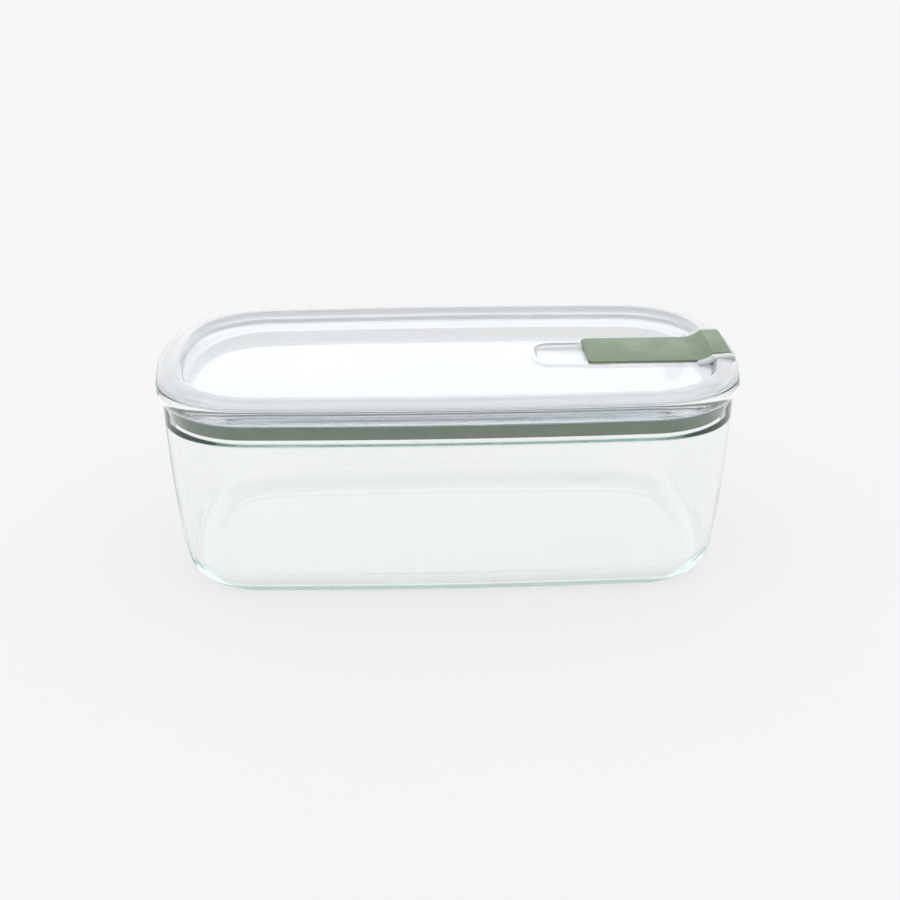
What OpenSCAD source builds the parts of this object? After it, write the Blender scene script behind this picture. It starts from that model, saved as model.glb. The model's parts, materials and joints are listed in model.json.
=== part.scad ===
// Glass food storage container with a press-in lid, a seal ring and a vent clip.
// The origin is the middle of the base. X runs along the container, Z points up.
// The clip lies along the lid at the +X end.

/* [Glass dish] */
// Length of the rim
rim_l = 222.5; // [212:0.5:250]
// Width of the rim
rim_w = 115; // [110:0.5:130]
// Height of the rim above the table
rim_h = 79; // [65:1:100]
// Corner radius of the rim, seen from above
corner_r = 43; // [41:0.5:45]
// Height of the thick band round the rim
band_h = 6; // [5:0.5:7]
// How far the rim band stands out from the neck below it
band_out = 2.2; // [1.8:0.1:2.4]
// How far the wall leans in between the neck and the base
wall_lean = 5.5; // [3:0.5:7]
// Thickness of the wall below the ledge
wall_t = 3.3; // [3:0.1:4]
// Thickness of the base
base_t = 4; // [3:0.5:6]
// Radius between the wall and the base, outside
base_round = 11; // [8:0.5:12]
// Depth of the wide mouth, from the rim to the ledge
mouth_depth = 13.2; // [13.2:0.2:15.8]

/* [Lid] */
// Height of the crest of the lid's border above the glass rim
crest_h = 3.3; // [3.2:0.1:3.4]
// Distance from the outer edge to the crest
crest_in = 8.3; // [7.9:0.1:8.7]
// Height of the flat panel above the glass rim
panel_h = 0.6; // [0.4:0.1:0.8]
// Thickness of the panel
panel_t = 1.6; // [1.4:0.1:2]
// Gap between the resting lid and the glass rim
lid_gap = 0.3; // [0.2:0.05:0.4]
// Depth of the plug skirt below the glass rim
skirt_depth = 12.6; // [12.4:0.1:13]

/* [Clip] */
// Width of the clip
clip_w = 26.2; // [22:0.2:28]
// Thickness of the clip
clip_t = 1.5; // [1.4:0.1:1.6]
// Length of the clip, from its free end to the hinge axis
clip_l = 53.4; // [48:0.1:60]
// Distance from the end of the rim to the hinge axis
hinge_in = 4.35; // [4.2:0.05:4.5]
// Radius of the two hinge stubs
stub_r = 0.8; // [0.7:0.05:0.9]

/* [Vent] */
// Distance from the hinge axis to the vent
vent_back = 18.5; // [17:0.1:20]
// Outer radius of the vent cup under the lid
cup_r = 4.3; // [4.2:0.1:4.6]
// Depth of the vent cup below the glass rim
cup_depth = 13.5; // [12:0.1:13.5]

/* [Hidden] */

glass_colour = [0.86, 0.93, 0.91, 0.45];
lid_colour = [0.90, 0.94, 0.97, 0.60];
sage_colour = [0.58, 0.64, 0.56];
seal_colour = [0.46, 0.54, 0.45];

round_fn = 96;    // facets of a small round
corner_fn = 256;  // facets of a full circle at a corner

// Centre of the outline's corner in the +X +Y quarter.
corner_x = rim_l / 2 - corner_r;
corner_y = rim_w / 2 - corner_r;

plate_in = 22;    // inset of the flat plates that close the middle
ring_in = 24;     // inset where the swept sections end
plate_steps = 16; // corners of a plate along one quarter

// Glass section
rim_round = 1;      // outer top edge of the rim
neck_round = 0.8;   // between the rim band and the neck
band_round = band_out - neck_round;
mouth_round = 1.2;  // inner top edge of the rim
mouth_top = 3.8;    // inset of the mouth wall at the rim
mouth_low = 4.3;    // inset of the mouth wall at the ledge
ledge_drop = 2;     // height of the sloping ledge
floor_round = 9;    // radius between the wall and the base, inside
neck_z = rim_h - band_h - neck_round;
wall_r = (neck_z ^ 2 + wall_lean ^ 2) / (2 * wall_lean);
wall_c = [band_out + wall_r, neck_z];

// Lid section
edge_in = 0.6;      // inset of the lid's outer edge
edge_h = 0.6;       // height of the upright part of that edge
seat_in = 3;        // inset where the rim seat ends
slope_w = 2.6;      // width of the inner slope of the border
arch_h = 1.6;       // height of the hollow under the border
skirt_out = 8.7;    // inset of the skirt's outer face
skirt_t = 1.8;      // thickness of the skirt
groove_top = 6.4;   // depth of the top of the seal groove
flange_t = 1;       // thickness of the two flanges beside the groove
flange_in = 6.7;    // inset of the flanges' edges

// Seal ring section
seal_out = 4.7;     // inset of the sealing face
seal_gap = 0.1;     // play of the ring in its groove
seal_bevel = 0.9;   // slope at the top and bottom of the sealing face

// Clip section, with heights above the rim
hinge_x = rim_l / 2 - hinge_in;
clip_start = hinge_x - clip_l;
clip_top = 1.4;
facet_top = 4.3;
crease_x = hinge_x - 6.1;
rise_x = hinge_x - 12.9;
rise_r = ((crease_x - rise_x) ^ 2 + (facet_top - clip_top) ^ 2) / (2 * (facet_top - clip_top));
barrel_r = clip_t;
hinge_z = facet_top - barrel_r;
clip_corner_r = 2.5;
under_gap = 0.2;
side_gap = 0.3;
barrel_gap = 0.25;
stub_l = 1.8;
bore_gap = 0.05;
bore_l = 2.1;
cut_top = 10;
ear_w = 4;
ear_start = hinge_x - 5;

// Finger recess and the trays under the lid
recess_start = clip_start - 19.5;
recess_end = clip_start + 6.5;
recess_w = 21;
recess_floor = -0.9;
recess_r = 7;
tray_t = 1.6;
tray_wall = 1.5;
tray_start = crease_x - 2;
tray_gap = 2;       // between the tray under the hinge and the mouth wall

// Vent
vent_x = hinge_x - vent_back;
seat_r = 4;
seat_low_r = 3;
seat_low = -3.8;
cup_wall = 1.3;
vent_hole_r = 1;
plug_low = -3.4;
plug_gap = 0.25;
boss_r = 1.5;
boss_h = 1.4;
boss_gap = 0.1;

// Points on an arc, with the centre, radius, first and last angle and number of steps.
function arc(c, r, a0, a1, n) =
    [for (i = [0:n]) c + r * [cos(a0 + (a1 - a0) * i / n), sin(a0 + (a1 - a0) * i / n)]];

// Centre of a round of radius r that touches both the wall arc of radius w and a floor at height z.
function round_centre(w, r, z) =
    [wall_c[0] - sqrt((w - r) ^ 2 - (neck_z - z - r) ^ 2), z + r];

// Lean of the wall, in degrees, where that round meets it.
function round_lean(w, r, z) = asin((neck_z - z - r) / (w - r));

// One quarter of the outline at an inset, from the short side to the long side.
function quarter(inset) = arc([corner_x, corner_y], corner_r - inset, 0, 90, plate_steps);

// The whole outline at an inset, as a list of points.
function outline(inset) =
    let (q = quarter(inset), n = len(q) - 1)
    concat(
        q,
        [for (i = [n:-1:0]) [-q[i][0], q[i][1]]],
        [for (i = [0:n]) -q[i]],
        [for (i = [n:-1:0]) [q[i][0], -q[i][1]]]
    );

// A section of [inset, height] points carried once round the whole outline.
module swept(section) {
    points = [for (p = section) [corner_r - p[0], p[1]]];
    for (turn = [0, 180]) {
        rotate([0, 0, turn]) {
            translate([0, corner_y, 0])
                rotate([90, 0, 90])
                    linear_extrude(2 * corner_x, center = true)
                        polygon(points);
            translate([corner_x, 0, 0])
                rotate([90, 0, 0])
                    linear_extrude(2 * corner_y, center = true)
                        polygon(points);
            translate([corner_x, corner_y, 0])
                rotate_extrude(angle = 90, $fn = corner_fn)
                    polygon(points);
            translate([-corner_x, corner_y, 0])
                rotate([0, 0, 90])
                    rotate_extrude(angle = 90, $fn = corner_fn)
                        polygon(points);
        }
    }
}

// A flat plate that closes the middle of a swept section.
module plate(z0, z1) {
    translate([0, 0, z0])
        linear_extrude(z1 - z0)
            polygon(outline(plate_in));
}

// A bar along Y with the middle of its length at the origin.
module y_cylinder(x, z, r, l) {
    translate([x, 0, z])
        rotate([90, 0, 0])
            cylinder(r = r, h = l, center = true, $fn = round_fn);
}

// An upright outline in X and Z, given a width along Y.
module y_slab(points, w) {
    rotate([90, 0, 0])
        linear_extrude(w, center = true)
            polygon(points);
}

// A box whose two corners at the low X end are rounded.
module round_end_box(x0, x1, w, r, z0, z1) {
    translate([0, 0, z0])
        linear_extrude(z1 - z0)
            union() {
                translate([x0 + r, -w / 2])
                    square([x1 - x0 - r, w]);
                translate([x0, -w / 2 + r])
                    square([x1 - x0, w - 2 * r]);
                for (side = [-1, 1])
                    translate([x0 + r, side * (w / 2 - r)])
                        circle(r = r, $fn = round_fn);
            }
}

// Section of the glass wall: rim band, neck, wall, base edge, then back up the inside.
function glass_section() =
    let (
        inner_r = wall_r - wall_t,
        foot = round_centre(wall_r, base_round, 0),
        foot_lean = round_lean(wall_r, base_round, 0),
        floor_c = round_centre(inner_r, floor_round, base_t),
        floor_lean = round_lean(inner_r, floor_round, base_t),
        ledge_z = rim_h - mouth_depth - ledge_drop,
        ledge_lean = asin((neck_z - ledge_z) / inner_r)
    )
    concat(
        arc([rim_round, rim_h - rim_round], rim_round, 90, 180, 4),
        arc([band_round, rim_h - band_h + band_round], band_round, 180, 270, 6),
        arc([band_out - neck_round, neck_z], neck_round, 90, 0, 4),
        arc(wall_c, wall_r, 180, 180 + foot_lean, 10),
        arc(foot, base_round, 180 + foot_lean, 270, 6),
        [[ring_in, 0], [ring_in, base_t]],
        arc(floor_c, floor_round, 270, 180 + floor_lean, 6),
        arc(wall_c, inner_r, 180 + floor_lean, 180 + ledge_lean, 8),
        [[mouth_low, rim_h - mouth_depth]],
        arc([mouth_top - mouth_round, rim_h - mouth_round], mouth_round, 0, 90, 4)
    );

// Section of the lid's border and plug skirt.
function lid_section() =
    let (
        skirt_in = skirt_out + skirt_t,
        upright = lid_gap + edge_h
    )
    concat(
        [[edge_in, lid_gap]],
        [for (a = [0:10:90])
            [crest_in - 0.6 - (crest_in - 0.6 - edge_in) * cos(a), upright + (crest_h - upright) * sin(a)]],
        [for (i = [0:8])
            [crest_in + slope_w * i / 8, panel_h + (crest_h - panel_h) * (1 + cos(180 * i / 8)) / 2]],
        [[ring_in, panel_h], [ring_in, panel_h - panel_t], [skirt_in, panel_h - panel_t]],
        [[skirt_in, -skirt_depth], [flange_in, -skirt_depth]],
        [[flange_in, -skirt_depth + flange_t], [skirt_out, -skirt_depth + flange_t]],
        [[skirt_out, -groove_top], [flange_in, -groove_top]],
        [[flange_in, -groove_top + flange_t], [skirt_out, -groove_top + flange_t]],
        [[skirt_out, 0.6], [skirt_out - 1.2, arch_h], [seat_in + 1.6, arch_h], [seat_in + 0.3, 0.8]],
        [[seat_in, lid_gap]]
    );

// Section of the seal ring: the foot held in the groove and the wider sealing face.
function seal_section() =
    let (
        foot_in = skirt_out - seal_gap,
        top = -groove_top - seal_gap,
        low = -skirt_depth + flange_t + seal_gap,
        lip = flange_in - seal_gap
    )
    [
        [foot_in, top],
        [lip, top],
        [seal_out, top - seal_bevel],
        [seal_out, -skirt_depth + seal_bevel],
        [seal_out + 0.5, -skirt_depth + 0.2],
        [lip, -skirt_depth + 0.2],
        [lip, low],
        [foot_in, low]
    ];

// Outline of the clip in X and Z: flat lever, concave rise, flat facet over the hinge.
function clip_outline() =
    let (
        rise_c = [rise_x, clip_top + rise_r],
        rise_a = asin((crease_x - rise_x) / rise_r),
        low_r = rise_r + clip_t,
        low_a = acos((rise_c[1] - hinge_z) / low_r)
    )
    concat(
        [[clip_start, clip_top]],
        arc(rise_c, rise_r, -90, -90 + rise_a, 8),
        [[hinge_x, facet_top], [hinge_x, hinge_z]],
        arc(rise_c, low_r, -90 + low_a, -90, 8),
        [[clip_start, clip_top - clip_t]]
    );

// Outline of the space that the clip and its hinge need in the lid, open at the top.
function channel_outline() =
    let (
        rise_c = [rise_x, clip_top + rise_r],
        floor_r = rise_r + clip_t + under_gap,
        floor_a = acos((rise_c[1] - hinge_z + under_gap) / floor_r)
    )
    concat(
        [[clip_start - side_gap, cut_top], [hinge_x + barrel_r + barrel_gap, cut_top]],
        [[hinge_x + barrel_r + barrel_gap, hinge_z], [hinge_x, hinge_z - under_gap]],
        arc(rise_c, floor_r, -90 + floor_a, -90, 8),
        [[clip_start - side_gap, clip_top - clip_t - under_gap]]
    );

module glass_dish() {
    color(glass_colour)
        union() {
            swept(glass_section());
            plate(0, base_t);
        }
}

// The two hinge ears stand on the border at either side of the clip.
module hinge_ears() {
    ear_l = clip_w + 2 * (side_gap + ear_w);
    ear_top = facet_top - 0.1;
    translate([ear_start, -ear_l / 2, 0.5])
        cube([hinge_x - ear_start, ear_l, ear_top - 0.5]);
    y_cylinder(hinge_x, ear_top - barrel_r, barrel_r, ear_l);
}

// The lid is thicker under the clip's channel and the finger recess.
module channel_trays() {
    channel_floor = clip_top - clip_t - under_gap;
    tray_w = clip_w + 2 * (side_gap + tray_wall);
    wide_w = clip_w + 2 * (side_gap + ear_w);
    translate([clip_start - tray_wall, -tray_w / 2, channel_floor - tray_t])
        cube([hinge_x - clip_start - tray_wall, tray_w, tray_t - channel_floor]);
    translate([tray_start, -wide_w / 2, channel_floor - tray_t])
        cube([rim_l / 2 - mouth_top - tray_gap - tray_start, wide_w, arch_h - channel_floor + tray_t]);
    translate([tray_start, -wide_w / 2, lid_gap])
        cube([rim_l / 2 - seat_in - tray_start, wide_w, arch_h - lid_gap]);
    round_end_box(recess_start - tray_wall, recess_end + tray_wall, recess_w + 2 * tray_wall,
        recess_r + tray_wall, recess_floor - tray_t, 0);
}

module vent_cup() {
    translate([vent_x, 0, -cup_depth + cup_r])
        cylinder(r = cup_r, h = cup_depth - cup_r - 1, $fn = round_fn);
    translate([vent_x, 0, -cup_depth + cup_r])
        sphere(r = cup_r, $fn = round_fn);
}

module vent_bore() {
    bore_r = cup_r - cup_wall;
    translate([vent_x, 0, seat_low])
        cylinder(r1 = seat_low_r, r2 = seat_r, h = clip_top - clip_t - under_gap - seat_low,
            $fn = round_fn);
    translate([vent_x, 0, -cup_depth + cup_r])
        cylinder(r = bore_r, h = cup_depth - cup_r + seat_low, $fn = round_fn);
    translate([vent_x, 0, -cup_depth - 1])
        cylinder(r = vent_hole_r, h = cup_depth, $fn = round_fn);
}

module lid_shell() {
    color(lid_colour)
        translate([0, 0, rim_h])
            difference() {
                union() {
                    swept(lid_section());
                    plate(panel_h - panel_t, panel_h);
                    hinge_ears();
                    channel_trays();
                    vent_cup();
                }
                y_slab(channel_outline(), clip_w + 2 * side_gap);
                y_cylinder(hinge_x, hinge_z, barrel_r + barrel_gap, clip_w + 2 * side_gap);
                y_cylinder(hinge_x, hinge_z, stub_r + bore_gap, clip_w + 2 * (side_gap + bore_l));
                round_end_box(recess_start, recess_end, recess_w, recess_r, recess_floor, cut_top);
                vent_bore();
            }
}

module seal_ring() {
    color(seal_colour)
        translate([0, 0, rim_h])
            swept(seal_section());
}

module clip_lever() {
    color(sage_colour)
        translate([0, 0, rim_h])
            union() {
                intersection() {
                    y_slab(clip_outline(), clip_w);
                    round_end_box(clip_start, hinge_x + 5, clip_w, clip_corner_r, -5, cut_top);
                }
                y_cylinder(hinge_x, hinge_z, barrel_r, clip_w);
                y_cylinder(hinge_x, hinge_z, stub_r, clip_w + 2 * (side_gap + stub_l));
                translate([vent_x, 0, clip_top - clip_t - boss_h])
                    cylinder(r = boss_r, h = boss_h + 0.5, $fn = round_fn);
            }
}

module vent_stopper() {
    top = clip_top - clip_t;
    widen = (seat_r - seat_low_r) / (top - under_gap - seat_low);
    low_r = seat_low_r - plug_gap + widen * (plug_low - seat_low);
    top_r = low_r + widen * (top - plug_low);
    color(seal_colour)
        translate([vent_x, 0, rim_h])
            difference() {
                translate([0, 0, plug_low])
                    cylinder(r1 = low_r, r2 = top_r, h = top - plug_low, $fn = round_fn);
                translate([0, 0, top - boss_h - boss_gap])
                    cylinder(r = boss_r + boss_gap, h = boss_h + boss_gap + 1, $fn = round_fn);
            }
}

glass_dish();
lid_shell();
seal_ring();
clip_lever();
vent_stopper();
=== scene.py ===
"""Looks of the glass storage container: glass dish, milky lid, seal ring, clip and vent stopper."""

import json
import math

import bmesh
import bpy
from mathutils import Matrix, Vector


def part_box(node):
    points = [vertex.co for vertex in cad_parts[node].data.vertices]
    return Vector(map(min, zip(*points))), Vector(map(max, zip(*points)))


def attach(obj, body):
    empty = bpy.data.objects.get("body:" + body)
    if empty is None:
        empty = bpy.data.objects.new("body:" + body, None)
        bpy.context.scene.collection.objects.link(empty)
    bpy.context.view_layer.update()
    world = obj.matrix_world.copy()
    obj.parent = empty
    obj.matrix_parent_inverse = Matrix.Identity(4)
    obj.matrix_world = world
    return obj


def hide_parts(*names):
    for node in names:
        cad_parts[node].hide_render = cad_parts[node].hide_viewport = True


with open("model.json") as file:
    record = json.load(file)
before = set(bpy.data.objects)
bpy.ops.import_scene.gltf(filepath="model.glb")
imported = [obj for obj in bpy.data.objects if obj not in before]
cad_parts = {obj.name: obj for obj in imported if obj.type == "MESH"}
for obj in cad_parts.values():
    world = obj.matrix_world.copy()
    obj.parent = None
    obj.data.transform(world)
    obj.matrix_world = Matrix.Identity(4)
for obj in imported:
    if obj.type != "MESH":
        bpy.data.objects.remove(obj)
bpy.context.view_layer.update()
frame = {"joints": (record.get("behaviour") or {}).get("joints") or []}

MM = 0.001

# Lengths are in millimetres and angles in degrees. In names, _l is a length, _w a width, _h a height,
# _t a thickness and _r a radius. _in and _out are insets from the rim's outer edge.

# Places from the frame
dish_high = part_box("glass_dish")[1] / MM
clip_low, clip_high = [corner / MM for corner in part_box("clip_lever")]
stopper_low, stopper_high = [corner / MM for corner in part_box("vent_stopper")]
hinge = [joint for joint in frame["joints"] if joint["name"] == "clip_hinge"][0]

half_l = dish_high.x
half_w = dish_high.y
rim_h = dish_high.z
hinge_x = hinge["pos_m"][0] / MM
hinge_z = hinge["pos_m"][2] / MM - rim_h
clip_start = clip_low.x
vent_x = (stopper_low.x + stopper_high.x) / 2

# Outline of the rim: four slightly bowed sides joined by round corners, with the steps of each arc
corner_r = 37.2
long_side_r = 1670
short_side_r = 121
corner_steps = 30
long_steps = 16
short_steps = 10
# Inset where the swept sections end in flat caps
cap_in = 24

# Glass section, with insets from the rim's outer edge
band_h = 6
band_out = 2.2
wall_lean = 5.5
wall_t = 3.3
base_t = 4
base_round = 11
floor_round = 9
mouth_depth = 13.2
# Height of the bead's upper part, and how far its rounded top reaches inwards
bead_top = 2.2
rim_flat = 1.6
neck_round = 0.8
mouth_round = 1.2
mouth_top = 3.8
mouth_low = 4.3
ledge_drop = 2
ledge_round = 3
neck_z = rim_h - band_h - neck_round
wall_r = (neck_z**2 + wall_lean**2) / (2 * wall_lean)
wall_c = (band_out + wall_r, neck_z)

# Lid section, with heights above the glass rim
lid_gap = 0.3
edge_in = 0.6
edge_h = 0.6
crest_h = 3.3
crest_in = 8.3
crest_flat = 0.6
slope_w = 2.6
panel_h = 0.6
panel_t = 1.6
arch_h = 1.6
seat_in = 3
skirt_depth = 12.6
skirt_out = 8.7
skirt_t = 1.8
groove_top = 6.4
flange_t = 1
flange_in = 6.7

# Seal ring section
seal_out = 4.7
seal_gap = 0.1
seal_bevel = 0.9

# Clip
clip_w = 26.2
clip_t = 1.5
clip_top = 1.4
facet_top = clip_high.z - rim_h
crease_x = hinge_x - 6.1
rise_x = hinge_x - 12.9
rise_r = ((crease_x - rise_x) ** 2 + (facet_top - clip_top) ** 2) / (2 * (facet_top - clip_top))
rise_c = (rise_x, clip_top + rise_r)
clip_corner_r = 2.5
clip_edge_r = 0.3
clip_overhang = 5
under_gap = 0.2
side_gap = 0.3
barrel_gap = 0.25
stub_r = 0.8
stub_l = 1.8
bore_gap = 0.05
bore_l = 2.1
cut_top = 10

# Hinge ears, finger recess and the thicker floors under them
ear_w = 4
ear_round = 1.1
ear_low = 0.5
recess_start = clip_start - 19.5
recess_end = clip_start + 6.5
recess_w = 21
recess_floor = -0.9
recess_r = 7
recess_edge_r = 1.45
tray_t = 1.6
tray_wall = 1.5
tray_gap = 2
tray_start = crease_x - 2

# Vent cup and stopper
cup_r = 4.3
cup_depth = 13.5
cup_wall = 1.3
seat_r = 4
seat_low_r = 3
seat_low = -3.8
vent_hole_r = 1
plug_low = stopper_low.z - rim_h
plug_gap = 0.25
boss_r = 1.5
boss_h = 1.4
boss_gap = 0.1
boss_edge = 0.3
boss_inset = 0.7

# Steps of a full small round
round_steps = 64

# The lid's plastic is clearer below this height, which lies under the recess's floor
clear_below = recess_floor - 0.05

# Colours, as linear shares of red, green and blue. Tones are the two ends of a material's own variation.
glass_tint = (0.575, 0.72, 0.705)
milky_tones = ((0.69, 0.705, 0.725), (0.705, 0.718, 0.735))
clear_tones = ((0.87, 0.915, 0.975), (0.89, 0.93, 0.98))
sage_tones = ((0.105, 0.148, 0.093), (0.117, 0.162, 0.104))
# Painted highlight: the clip's lighter colour along its outward edges, where light catches them
sage_edge_highlight = (0.155, 0.205, 0.14)
ring_tones = ((0.160, 0.220, 0.153), (0.182, 0.243, 0.173))
stopper_tones = ((0.152, 0.210, 0.146), (0.174, 0.233, 0.165))
table_tones = ((0.115, 0.115, 0.115), (0.125, 0.125, 0.125))

# Light. Glass needs many bounces, because light runs a long way inside its walls.
room_light = 1.6
table_glow = 0.735
glass_bounces = 64

# The floor lies this far below the glass base, so that light gets under it, in metres
floor_gap = 0.0003
floor_reach = 40

# Camera, in metres and degrees
view_target = Vector((-0.0001, 0, 0.038))
view_distance = 0.5591
view_azimuth = -1.63
view_elevation = 24.08
view_roll = -0.32
view_lens = 56
view_shift = (0.0027, 0.002)


def arc(centre, r, start, end, steps):
    """Points on an arc, with angles in degrees."""
    angles = [math.radians(start + (end - start) * i / steps) for i in range(steps + 1)]
    return [(centre[0] + r * math.cos(a), centre[1] + r * math.sin(a)) for a in angles]


def oval(centre, across, up, start, end, steps):
    """Points on a stretch of an ellipse."""
    turned = arc((0, 0), 1, start, end, steps)
    return [(centre[0] + across * x, centre[1] + up * y) for x, y in turned]


def corner_centre():
    """Centre of the round corner that touches the long side's arc and the short side's arc."""
    long_c = Vector((0, half_w - long_side_r))
    short_c = Vector((half_l - short_side_r, 0))
    long_reach = long_side_r - corner_r
    short_reach = short_side_r - corner_r
    span = short_c - long_c
    along = (long_reach**2 - short_reach**2 + span.length_squared) / (2 * span.length)
    off = math.sqrt(long_reach**2 - along**2)
    way = span.normalized()
    return long_c + way * along + Vector((-way.y, way.x)) * -off


def quarter_outline():
    """Points and outward directions on the rim's edge, from the +X side's middle to the +Y side's."""
    corner = corner_centre()
    long_c = Vector((0, half_w - long_side_r))
    short_c = Vector((half_l - short_side_r, 0))
    short_turn = math.degrees(math.atan2(corner.y, corner.x - short_c.x))
    long_turn = math.degrees(math.atan2(corner.y - long_c.y, corner.x))
    pieces = [
        (short_c, short_side_r, 0, short_turn, short_steps),
        (corner, corner_r, short_turn, long_turn, corner_steps),
        (long_c, long_side_r, long_turn, 90, long_steps),
    ]
    made = []
    for centre, r, start, end, steps in pieces:
        for i in range(1 if made else 0, steps + 1):
            turn = math.radians(start + (end - start) * i / steps)
            out = Vector((math.cos(turn), math.sin(turn)))
            made.append((centre + out * r, out))
    return made


def whole_outline():
    """The quarter outline mirrored into a closed ring."""
    quarter = quarter_outline()
    back = quarter[-2::-1]
    ring = list(quarter)
    ring += [(Vector((-p.x, p.y)), Vector((-n.x, n.y))) for p, n in back]
    ring += [(-p, -n) for p, n in quarter[1:]]
    ring += [(Vector((p.x, -p.y)), Vector((n.x, -n.y))) for p, n in back[:-1]]
    return ring


OUTLINE = whole_outline()


def new_piece(name, bm):
    """An object made from a closed mesh in millimetres."""
    bmesh.ops.recalc_face_normals(bm, faces=bm.faces)
    bmesh.ops.scale(bm, vec=(MM, MM, MM), verts=bm.verts)
    mesh = bpy.data.meshes.new(name)
    bm.to_mesh(mesh)
    bm.free()
    piece = bpy.data.objects.new(name, mesh)
    bpy.context.scene.collection.objects.link(piece)
    return piece


def swept(name, section, z0=0, closed=False):
    """A section of (inset, height) points carried round the outline. Flat caps close an open one."""
    bm = bmesh.new()
    rows = [
        [bm.verts.new((p.x - n.x * e, p.y - n.y * e, z + z0)) for e, z in section]
        for p, n in OUTLINE
    ]
    last = len(section) if closed else len(section) - 1
    for i, row in enumerate(rows):
        after = rows[(i + 1) % len(rows)]
        for j in range(last):
            k = (j + 1) % len(section)
            bm.faces.new((row[j], after[j], after[k], row[k]))
    if not closed:
        bm.faces.new([row[0] for row in rows])
        bm.faces.new([row[-1] for row in rows])
    return new_piece(name, bm)


def prism(name, points, low, high, place):
    """A straight prism. place turns an outline point and a height into a position."""
    bm = bmesh.new()
    ends = [[bm.verts.new(place(p, h)) for p in points] for h in (low, high)]
    for i in range(len(points)):
        k = (i + 1) % len(points)
        bm.faces.new((ends[0][i], ends[0][k], ends[1][k], ends[1][i]))
    bm.faces.new(ends[0])
    bm.faces.new(ends[1])
    return new_piece(name, bm)


def y_prism(name, points, width):
    """An upright outline in X and height above the rim, given a width along Y."""
    return prism(name, points, -width / 2, width / 2, lambda p, h: (p[0], h, p[1] + rim_h))


def z_prism(name, points, low, high):
    """An outline in X and Y between two heights above the rim."""
    return prism(name, points, low + rim_h, high + rim_h, lambda p, h: (p[0], p[1], h))


def y_bar(name, z, r, width):
    """A bar along Y on the hinge's line."""
    return y_prism(name, arc((hinge_x, z), r, 0, 360, round_steps)[:-1], width)


def lathe(name, profile, x):
    """A profile of (radius, height above the rim) points turned about an upright line."""
    bm = bmesh.new()
    turns = [2 * math.pi * i / round_steps for i in range(round_steps)]
    rings = []
    for r, z in profile:
        if r < 1e-6:
            rings.append([bm.verts.new((x, 0, z + rim_h))] * round_steps)
        else:
            rings.append([bm.verts.new((x + r * math.cos(t), r * math.sin(t), z + rim_h)) for t in turns])
    for low, high in zip(rings, rings[1:]):
        for i in range(round_steps):
            k = (i + 1) % round_steps
            corners = [low[i], low[k], high[k], high[i]]
            bm.faces.new([v for n, v in enumerate(corners) if v not in corners[:n]])
    return new_piece(name, bm)


def round_end_points(x0, x1, width, r):
    """Outline of a box whose two corners at the low X end are round."""
    half = width / 2
    return (
        [(x1, -half), (x1, half)]
        + arc((x0 + r, half - r), r, 90, 180, 16)
        + arc((x0 + r, r - half), r, 180, 270, 16)
    )


def box_points(x0, x1, half):
    """Outline of a box that is as wide on both sides of the X axis."""
    return [(x0, -half), (x1, -half), (x1, half), (x0, half)]


def apply_modifier(piece, kind, **settings):
    """Adds a modifier, applies it and leaves the changed mesh."""
    modifier = piece.modifiers.new(kind.lower(), kind)
    for key, value in settings.items():
        setattr(modifier, key, value)
    with bpy.context.temp_override(object=piece, active_object=piece):
        bpy.ops.object.modifier_apply(modifier=modifier.name)


def combine(piece, tool, operation):
    """Joins a tool to the piece or cuts it away, and removes the tool."""
    apply_modifier(piece, "BOOLEAN", object=tool, operation=operation, solver="EXACT")
    bpy.data.objects.remove(tool)


def rounded(piece, width, steps=3, angle=32):
    """Rounds the piece's sharp edges."""
    apply_modifier(
        piece,
        "BEVEL",
        width=width * MM,
        segments=steps,
        limit_method="ANGLE",
        angle_limit=math.radians(angle),
        use_clamp_overlap=True,
        miter_outer="MITER_ARC",
    )


def smooth(piece, angle=35):
    """Smooth shading, broken where faces meet at a sharper angle."""
    piece.data.shade_smooth()
    piece.data.set_sharp_from_angle(angle=math.radians(angle))


def settle(piece, body, node, slot, *materials):
    """Gives a finished piece its materials and its place in the frame."""
    for material in materials:
        piece.data.materials.append(material)
    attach(piece, body)
    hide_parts(node)


# ---- Sections -------------------------------------------------------------------------------------


def round_centre(w, r, z):
    """Centre of a round of radius r that touches the wall arc of radius w and a floor at height z."""
    return (wall_c[0] - math.sqrt((w - r) ** 2 - (neck_z - z - r) ** 2), z + r)


def lean(drop, r):
    """Lean in degrees of a wall arc of radius r at a depth below its upright top."""
    return math.degrees(math.asin(drop / r))


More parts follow.
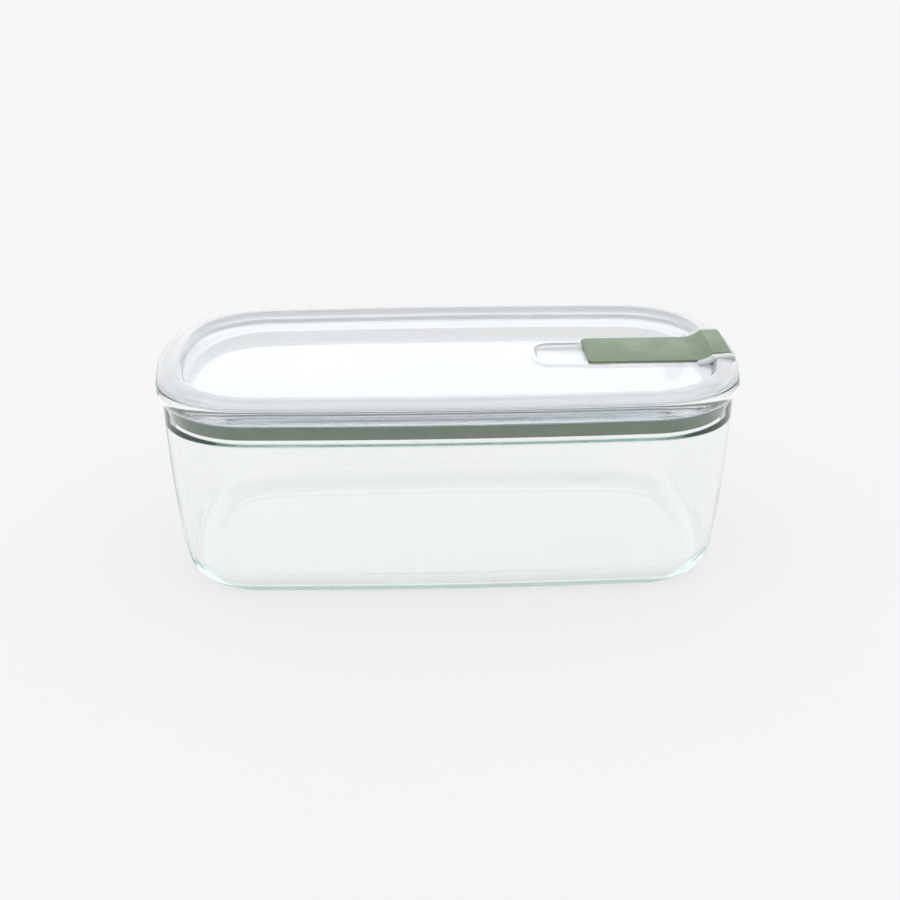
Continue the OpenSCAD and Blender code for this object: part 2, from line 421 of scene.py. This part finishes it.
def glass_section():
    """From the base's flat part up the outside, over the rim bead, then down the inside to the floor."""
    inner_r = wall_r - wall_t
    foot = round_centre(wall_r, base_round, 0)
    foot_lean = lean(neck_z - base_round, wall_r - base_round)
    floor_c = round_centre(inner_r, floor_round, base_t)
    floor_lean = lean(neck_z - base_t - floor_round, inner_r - floor_round)
    ledge_z = rim_h - mouth_depth - ledge_drop
    ledge_lean = lean(neck_z - ledge_z, inner_r)
    ledge_x = wall_c[0] - inner_r * math.cos(math.radians(ledge_lean))
    outside = [(cap_in, 0), (foot[0] + 2, 0), (foot[0] + 0.4, 0)]
    outside += arc(foot, base_round, 270, 180 + foot_lean, 18)
    outside += arc(wall_c, wall_r, 180 + foot_lean, 180, 30)[1:]
    outside += arc((band_out - neck_round, neck_z), neck_round, 0, 80, 6)[1:]
    outside += oval((band_out, rim_h - bead_top), band_out, band_h - bead_top, -107, -180, 22)
    outside += oval((rim_flat, rim_h - bead_top), rim_flat, bead_top, 180, 90, 14)[1:]
    inside = arc((mouth_top - mouth_round, rim_h - mouth_round), mouth_round, 90, 0, 10)
    ledge_high = (mouth_low, rim_h - mouth_depth)
    ledge_low = (ledge_x, ledge_z)
    inside += corner_round((mouth_top, rim_h - mouth_round), ledge_high, ledge_low)
    inside += corner_round(ledge_high, ledge_low, (ledge_x + 0.1, ledge_z - 8))
    inside += arc(wall_c, inner_r, 180 + ledge_lean + 0.15, 180 + floor_lean, 28)
    inside += arc(floor_c, floor_round, 180 + floor_lean, 270, 20)[1:]
    inside += [(floor_c[0] + 0.4, base_t), (floor_c[0] + 2, base_t), (cap_in, base_t)]
    return outside + inside


def corner_round(before, corner, after, r=ledge_round, steps=8):
    """A smooth bend of about radius r that replaces a section's corner."""
    corner = Vector(corner)
    to_before = (Vector(before) - corner).normalized()
    to_after = (Vector(after) - corner).normalized()
    half = to_before.angle(to_after) / 2
    reach = r / math.tan(half)
    start = corner + to_before * reach
    end = corner + to_after * reach
    bend = []
    for i in range(steps + 1):
        t = i / steps
        bend.append(tuple((1 - t) ** 2 * start + 2 * t * (1 - t) * corner + t**2 * end))
    return bend


def softened(points, r):
    """A section whose inner corners are all bent with about radius r."""
    made = [points[0]]
    for before, corner, after in zip(points, points[1:], points[2:]):
        made += corner_round(before, corner, after, r, 4)
    return made + [points[-1]]


def lid_section():
    """From the middle of the panel outwards over the border, down the skirt and back below the panel."""
    skirt_in = skirt_out + skirt_t
    upright = lid_gap + edge_h
    run = crest_in - crest_flat - edge_in
    top = [(cap_in, panel_h), (crest_in + slope_w + 2, panel_h)]
    for i in range(24, -1, -1):
        height = panel_h + (crest_h - panel_h) * (1 + math.cos(math.pi * i / 24)) / 2
        top.append((crest_in + slope_w * i / 24, height))
    top += oval((crest_in - crest_flat, upright), run, crest_h - upright, 90, 180, 30)
    edge = softened([top.pop(), (edge_in, lid_gap), (seat_in, lid_gap)], 0.25)
    under = [
        (seat_in, lid_gap),
        (seat_in + 0.3, 0.8),
        (seat_in + 1.6, arch_h),
        (skirt_out - 1.2, arch_h),
        (skirt_out, 0.6),
        (skirt_out, -groove_top + flange_t),
        (flange_in, -groove_top + flange_t),
        (flange_in, -groove_top),
        (skirt_out, -groove_top),
        (skirt_out, -skirt_depth + flange_t),
        (flange_in, -skirt_depth + flange_t),
        (flange_in, -skirt_depth),
        (skirt_in, -skirt_depth),
        (skirt_in, panel_h - panel_t),
        (cap_in, panel_h - panel_t),
    ]
    return top + edge[:-1] + softened(under, 0.2)


def seal_section():
    """The foot held in the groove and the wider sealing face with its soft edges."""
    foot_in = skirt_out - seal_gap
    top = -groove_top - seal_gap
    low = -skirt_depth + flange_t + seal_gap
    lip = flange_in - seal_gap
    ring = [
        (foot_in, top),
        (lip, top),
        (seal_out, top - seal_bevel),
        (seal_out, -skirt_depth + seal_bevel),
        (seal_out + 0.5, -skirt_depth + 0.2),
        (lip, -skirt_depth + 0.2),
        (lip, low),
        (foot_in, low),
    ]
    return softened(ring[-1:] + ring + ring[:1], 0.22)[1:-1]


def clip_outline():
    """Flat lever, concave rise, crease, flat facet over the hinge, then back along the underside."""
    rise_a = math.degrees(math.asin((crease_x - rise_x) / rise_r))
    low_r = rise_r + clip_t
    low_a = math.degrees(math.acos((rise_c[1] - hinge_z) / low_r))
    barrel = arc((hinge_x, hinge_z), clip_t, 90, -90, 24)
    return (
        [(clip_start, clip_top), (clip_start + 20, clip_top)]
        + arc(rise_c, rise_r, -90, -90 + rise_a, 20)
        + [(crease_x + 0.6, facet_top)]
        + barrel
        + arc(rise_c, low_r, -90 + low_a, -90, 20)
        + [(clip_start + 20, clip_top - clip_t), (clip_start, clip_top - clip_t)]
    )


def channel_outline():
    """The space that the clip and its hinge need in the lid, open at the top."""
    floor_r = rise_r + clip_t + under_gap
    floor_a = math.degrees(math.acos((rise_c[1] - hinge_z + under_gap) / floor_r))
    end_x = hinge_x + clip_t + barrel_gap
    return (
        [(clip_start - side_gap, cut_top), (end_x, cut_top)]
        + arc((hinge_x, hinge_z), clip_t + barrel_gap, 0, -90, 16)
        + arc(rise_c, floor_r, -90 + floor_a, -90, 20)
        + [(clip_start - side_gap, clip_top - clip_t - under_gap)]
    )


def ear_outline():
    """Side view of a hinge ear: it climbs with the clip's rise and ends round over the hinge."""
    ear_top = facet_top - 0.1
    climb = arc((rise_x, rise_c[1] - 0.1), rise_r, -82, -48, 12)
    end = arc((hinge_x, ear_top - clip_t), clip_t, 90, -60, 20)
    return [(rise_x, ear_low)] + climb + end + [(hinge_x, ear_low)]


# ---- Pieces ---------------------------------------------------------------------------------------


def make_dish():
    """One section carried round, with flat caps that make the floor."""
    dish = swept("dish_body", glass_section())
    smooth(dish, 60)
    return dish


def add_ears(lid):
    """The two hinge ears stand on the border at either side of the clip."""
    ears = y_prism("ears", ear_outline(), clip_w + 2 * (side_gap + ear_w))
    rounded(ears, ear_round, 5, 50)
    combine(lid, ears, "UNION")


def add_trays(lid):
    """The lid is thicker under the clip's channel, its hinge and the finger recess."""
    low = clip_top - clip_t - under_gap - tray_t
    half = clip_w / 2 + side_gap + tray_wall
    wide = clip_w / 2 + side_gap + ear_w
    clip_tray = box_points(clip_start - tray_wall, hinge_x - tray_wall, half)
    hinge_tray = box_points(tray_start, half_l - mouth_top - tray_gap, wide)
    seat_tray = box_points(tray_start, half_l - seat_in, wide)
    recess_tray = round_end_points(
        recess_start - tray_wall, recess_end + tray_wall, recess_w + 2 * tray_wall, recess_r + tray_wall
    )
    trays = [
        (clip_tray, low, 0),
        (hinge_tray, low, arch_h),
        (seat_tray, lid_gap, arch_h),
        (recess_tray, recess_floor - tray_t, 0),
    ]
    for outline, bottom, top in trays:
        combine(lid, z_prism("tray", outline, bottom, top), "UNION")


def add_cup(lid):
    """The vent cup hangs under the panel with a round bottom."""
    ball = arc((0, cup_r - cup_depth), cup_r, -90, 0, 18)
    ball[0] = (0, -cup_depth)
    combine(lid, lathe("cup", ball + [(cup_r, -0.6), (0, -0.6)], vent_x), "UNION")


def cut_channel(lid):
    """The clip lies in a channel, and its barrel and stubs turn in a pocket and two blind bores."""
    wide = clip_w + 2 * side_gap
    channel = y_prism("channel", channel_outline(), wide)
    combine(lid, channel, "DIFFERENCE")
    combine(lid, y_bar("pocket", hinge_z, clip_t + barrel_gap, wide), "DIFFERENCE")
    combine(lid, y_bar("bores", hinge_z, stub_r + bore_gap, wide + 2 * bore_l), "DIFFERENCE")


def cut_recess(lid):
    """A shallow scoop for a fingertip lies under the clip's free end."""
    footprint = round_end_points(recess_start, recess_end, recess_w, recess_r)
    scoop = z_prism("scoop", footprint, recess_floor, cut_top)
    rounded(scoop, recess_edge_r, 6, 60)
    combine(lid, scoop, "DIFFERENCE")


def cut_vent(lid):
    """A cone seat, a bore and a small hole at the bottom of the vent cup."""
    bore_r = cup_r - cup_wall
    seat_top = clip_top - clip_t - under_gap
    end = arc((0, cup_r - cup_depth), bore_r, -70, 0, 10)
    profile = [(0, -cup_depth - 1), (vent_hole_r, -cup_depth - 1), (vent_hole_r, end[0][1])]
    profile += end + [(bore_r, seat_low), (seat_low_r + 0.01, seat_low), (seat_r, seat_top)]
    profile += [(seat_r, seat_top + 0.4), (0, seat_top + 0.4)]
    combine(lid, lathe("vent", profile, vent_x), "DIFFERENCE")


def make_lid():
    """The border and skirt are swept. The fittings are joined on before anything is cut."""
    lid = swept("lid_cover", lid_section(), rim_h)
    add_trays(lid)
    add_cup(lid)
    add_ears(lid)
    cut_channel(lid)
    cut_recess(lid)
    cut_vent(lid)
    smooth(lid, 32)
    return lid


def polish_low_faces(lid):
    """The skirt, the trays and the vent cup take the lid's second, clearer material."""
    highest = (rim_h + clear_below) * MM
    for face in lid.data.polygons:
        face.material_index = 1 if face.center.z < highest else 0


def make_seal():
    """A closed ring in the skirt's groove."""
    seal = swept("seal_band", seal_section(), rim_h, closed=True)
    smooth(seal, 60)
    return seal


def make_clip():
    """The lever with rounded edges, the two hinge stubs and the boss that carries the stopper."""
    clip = y_prism("clip_body", clip_outline(), clip_w)
    footprint = round_end_points(clip_start, hinge_x + clip_overhang, clip_w, clip_corner_r)
    combine(clip, z_prism("footprint", footprint, -clip_overhang, cut_top), "INTERSECT")
    rounded(clip, clip_edge_r, 3, 25)
    combine(clip, y_bar("stubs", hinge_z, stub_r, clip_w + 2 * (side_gap + stub_l)), "UNION")
    low = clip_top - clip_t - boss_h
    high = clip_top - boss_inset
    boss = [(0, low), (boss_r - boss_edge, low), (boss_r, low + boss_edge), (boss_r, high), (0, high)]
    combine(clip, lathe("boss", boss, vent_x), "UNION")
    smooth(clip, 35)
    return clip


def make_stopper():
    """A tapered plug that fits the vent's seat, with a socket for the clip's boss."""
    top = clip_top - clip_t
    widen = (seat_r - seat_low_r) / (top - under_gap - seat_low)
    low_r = seat_low_r - plug_gap + widen * (plug_low - seat_low)
    top_r = low_r + widen * (top - plug_low)
    socket = top - boss_h - boss_gap
    socket_r = boss_r + boss_gap
    corners = [(0, plug_low), (low_r, plug_low), (top_r, top), (socket_r, top), (socket_r, socket)]
    stopper = lathe("vent_plug", softened(corners, 0.25) + [(0, socket)], vent_x)
    smooth(stopper, 40)
    return stopper


# ---- Materials ------------------------------------------------------------------------------------


class Surface:
    """A material with a Principled shader, and short ways to add the nodes that drive it."""

    def __init__(self, name):
        self.material = bpy.data.materials.new(name)
        self.material.use_nodes = True
        self.nodes = self.material.node_tree.nodes
        self.links = self.material.node_tree.links
        self.shader = self.nodes["Principled BSDF"]
        self.place = self.nodes.new("ShaderNodeTexCoord").outputs["Object"]

    def set(self, **values):
        """Sets plain numbers on the shader's own sockets."""
        for key, value in values.items():
            self.shader.inputs[key.replace("_", " ")].default_value = value

    def noise(self, scale, detail=2.0):
        """Smooth noise in the piece's own space. scale is in waves per metre."""
        node = self.nodes.new("ShaderNodeTexNoise")
        node.inputs["Scale"].default_value = scale
        node.inputs["Detail"].default_value = detail
        self.links.new(self.place, node.inputs["Vector"])
        return node.outputs["Fac"]

    def grain(self, scale):
        """Small moulding cells in the piece's own space."""
        node = self.nodes.new("ShaderNodeTexVoronoi")
        node.inputs["Scale"].default_value = scale
        self.links.new(self.place, node.inputs["Vector"])
        return node.outputs["Distance"]

    def edges(self, low=0.5, high=0.56):
        """0 on flat ground and 1 along outward edges. The clip uses it to place a painted highlight."""
        geometry = self.nodes.new("ShaderNodeNewGeometry")
        return self.spread(geometry.outputs["Pointiness"], 0.0, 1.0, low, high)

    def spread(self, source, low, high, source_low=0.3, source_high=0.7):
        """Maps a value's usual range onto another."""
        node = self.nodes.new("ShaderNodeMapRange")
        node.inputs["From Min"].default_value = source_low
        node.inputs["From Max"].default_value = source_high
        node.inputs["To Min"].default_value = low
        node.inputs["To Max"].default_value = high
        self.links.new(source, node.inputs["Value"])
        return node.outputs["Result"]

    def blend(self, share, first, second):
        """A colour between two, where each is a colour or another blend."""
        node = self.nodes.new("ShaderNodeMix")
        node.data_type = "RGBA"
        self.links.new(share, node.inputs["Factor"])
        for socket, colour in ((node.inputs[6], first), (node.inputs[7], second)):
            if isinstance(colour, tuple):
                socket.default_value = (*colour, 1)
            else:
                self.links.new(colour, socket)
        return node.outputs[2]

    def bump(self, height, strength, distance):
        """Stacks a bump of the given depth, in metres, on the shader's normal."""
        node = self.nodes.new("ShaderNodeBump")
        node.inputs["Strength"].default_value = strength
        node.inputs["Distance"].default_value = distance
        self.links.new(height, node.inputs["Height"])
        normal = self.shader.inputs["Normal"]
        if normal.is_linked:
            self.links.new(normal.links[0].from_socket, node.inputs["Normal"])
        self.links.new(node.outputs["Normal"], normal)

    def drive(self, socket, source):
        """Links a node's output to one of the shader's sockets."""
        self.links.new(source, self.shader.inputs[socket])

    def absorb(self, colour, density):
        """Tints what passes through the solid by its depth, per metre."""
        node = self.nodes.new("ShaderNodeVolumeAbsorption")
        node.inputs["Color"].default_value = (*colour, 1)
        node.inputs["Density"].default_value = density
        self.links.new(node.outputs["Volume"], self.nodes["Material Output"].inputs["Volume"])


def glass_material():
    """Pressed glass: slightly wavy, with a green tint that shows through long paths."""
    glass = Surface("pressed_glass")
    glass.set(Transmission_Weight=1.0, IOR=1.5)
    glass.drive("Base Color", glass.blend(glass.noise(25), (0.985, 1.0, 0.995), (1.0, 1.0, 1.0)))
    glass.drive("Roughness", glass.spread(glass.noise(60), 0.0, 0.03))
    glass.bump(glass.noise(28, 1.0), 0.25, 0.0006)
    glass.absorb(glass_tint, 11.0)
    return glass.material


def lid_material(name, share, tones):
    """Moulded plastic with faint flow marks. share is how much of the light passes straight through."""
    lid = Surface(name)
    lid.set(Transmission_Weight=share, IOR=1.49, Specular_IOR_Level=0.5)
    lid.drive("Base Color", lid.blend(lid.spread(lid.noise(18), 0, 1), *tones))
    lid.drive("Roughness", lid.spread(lid.noise(40), 0.02, 0.05))
    lid.bump(lid.noise(90, 3.0), 0.15, 0.0002)
    return lid.material


def clip_material():
    """Satin moulded plastic with a fine eroded grain, and a painted highlight that makes it a little
    lighter along its outward edges.
    """
    clip = Surface("sage_plastic")
    body = clip.blend(clip.spread(clip.noise(70, 4.0), 0, 1), *sage_tones)
    # Painted highlight: the colour turns lighter along outward edges, where light catches them
    clip.drive("Base Color", clip.blend(clip.edges(), body, sage_edge_highlight))
    clip.drive("Roughness", clip.spread(clip.noise(160, 3.0), 0.42, 0.55))
    clip.bump(clip.grain(2600), 0.12, 0.00008)
    clip.bump(clip.noise(1400, 4.0), 0.15, 0.00006)
    clip.set(Specular_IOR_Level=0.25)
    return clip.material


def silicone_material(name, tones):
    """Matte silicone with a soft bloom on its surface and faint mould grain."""
    rubber = Surface(name)
    rubber.drive("Base Color", rubber.blend(rubber.spread(rubber.noise(90, 4.0), 0, 1), *tones))
    rubber.drive("Roughness", rubber.spread(rubber.noise(220, 3.0), 0.55, 0.72))
    rubber.bump(rubber.noise(1800, 4.0), 0.2, 0.00006)
    rubber.set(Sheen_Weight=0.15, Sheen_Roughness=0.5, Specular_IOR_Level=0.35)
    return rubber.material


def floor_material():
    """A plain pale light table, mostly lit from below."""
    table = Surface("light_table")
    table.drive("Base Color", table.blend(table.noise(6, 3.0), *table_tones))
    table.set(Roughness=1.0, Specular_IOR_Level=0.0)
    table.set(Emission_Color=(1, 1, 1, 1), Emission_Strength=table_glow)
    table.bump(table.noise(900, 3.0), 0.05, 0.0002)
    return table.material


# ---- Stage ----------------------------------------------------------------------------------------


def make_floor():
    """A wide round floor, so that it reaches past the edges of the picture."""
    bm = bmesh.new()
    bmesh.ops.create_circle(bm, cap_ends=True, radius=floor_reach, segments=128)
    mesh = bpy.data.meshes.new("floor")
    bm.to_mesh(mesh)
    bm.free()
    floor = bpy.data.objects.new("floor", mesh)
    floor.location.z = -floor_gap
    mesh.materials.append(floor_material())
    bpy.context.scene.collection.objects.link(floor)


def make_world():
    """An even bright room, as inside a light tent."""
    world = bpy.data.worlds.new("studio")
    world.use_nodes = True
    background = world.node_tree.nodes["Background"]
    background.inputs["Color"].default_value = (1, 1, 1, 1)
    background.inputs["Strength"].default_value = room_light
    bpy.context.scene.world = world


def make_camera():
    """The camera stands in front, above the rim, and is rolled a little about its line of sight."""
    data = bpy.data.cameras.new("camera")
    data.lens = view_lens
    data.sensor_width = 36
    data.shift_x, data.shift_y = view_shift
    data.clip_start = 0.01
    data.clip_end = 200
    camera = bpy.data.objects.new("camera", data)
    turn = math.radians(view_azimuth)
    rise = math.radians(view_elevation)
    back = Vector((math.sin(turn) * math.cos(rise), -math.cos(turn) * math.cos(rise), math.sin(rise)))
    camera.location = view_target + back * view_distance
    camera.rotation_mode = "QUATERNION"
    facing = (-back).to_track_quat("-Z", "Y").to_matrix()
    roll = Matrix.Rotation(math.radians(view_roll), 3, "Z")
    camera.rotation_quaternion = (facing @ roll).to_quaternion()
    bpy.context.scene.collection.objects.link(camera)
    bpy.context.scene.camera = camera


def set_view():
    """Plain colours, and enough bounces for light that runs inside the glass."""
    scene = bpy.context.scene
    scene.view_settings.view_transform = "Standard"
    scene.cycles.max_bounces = glass_bounces
    scene.cycles.transmission_bounces = glass_bounces
    scene.cycles.glossy_bounces = glass_bounces
    scene.cycles.diffuse_bounces = 6
    scene.cycles.use_denoising = True


make_camera()
make_world()
make_floor()
set_view()

settle(make_dish(), "dish", "glass_dish", "dish_glass", glass_material())
milky = lid_material("milky_plastic", 0.58, milky_tones)
clear = lid_material("clear_plastic", 0.96, clear_tones)
lid = make_lid()
settle(lid, "lid", "lid_shell", "lid_plastic", milky, clear)
polish_low_faces(lid)
ring_silicone = silicone_material("ring_silicone", ring_tones)
settle(make_seal(), "lid", "seal_ring", "seal_silicone", ring_silicone)
settle(make_clip(), "clip", "clip_lever", "clip_plastic", clip_material())
stopper_silicone = silicone_material("stopper_silicone", stopper_tones)
settle(make_stopper(), "clip", "vent_stopper", "stopper_silicone", stopper_silicone)

bpy.context.view_layer.update()
